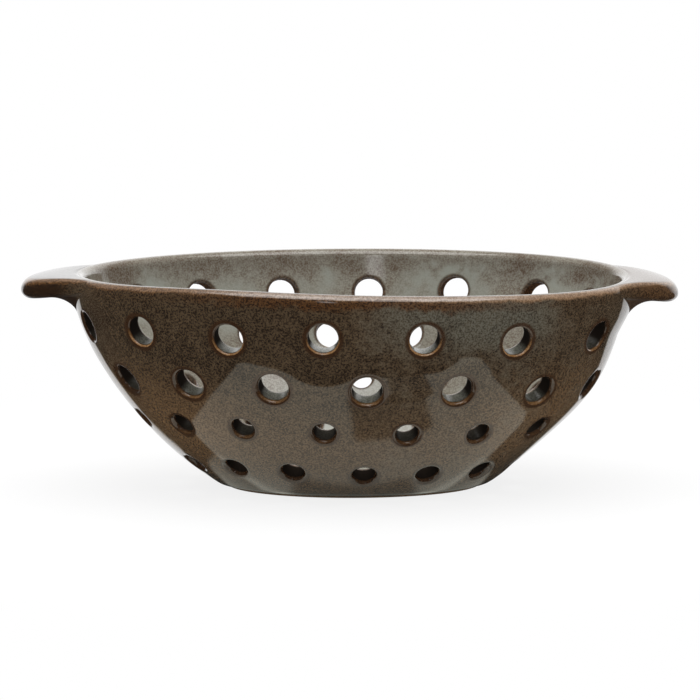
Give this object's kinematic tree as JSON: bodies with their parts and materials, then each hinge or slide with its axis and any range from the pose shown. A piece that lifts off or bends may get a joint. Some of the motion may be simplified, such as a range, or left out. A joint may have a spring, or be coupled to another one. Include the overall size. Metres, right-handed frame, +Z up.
{
  "type": "berry colander bowl",
  "caption": "Oval glazed stoneware bowl with rows of round drain holes in its wall, a drained floor on a low foot and an ear handle at each end, for rinsing and serving berries.",
  "frame": {"origin": "on the table under the middle of the foot ring", "axes": "+X through the right handle, +Y to the back, +Z up"},
  "size_m": [0.248, 0.149, 0.081],
  "materials": {
    "glaze": "glossy speckled brown and grey-green reactive glaze",
    "edge_glaze": "glossy glaze that breaks to amber and rust on the rim",
    "inner_glaze": "glossy grey-green glaze with brown mottling",
    "clay": "bare fired stoneware"
  },
  "bodies": {
    "root": {"bowl_wall": "glaze", "rim_lip": "edge_glaze", "bowl_floor": "inner_glaze", "foot_ring": "clay", "left_handle": "glaze", "right_handle": "glaze"}
  },
  "joints": []
}
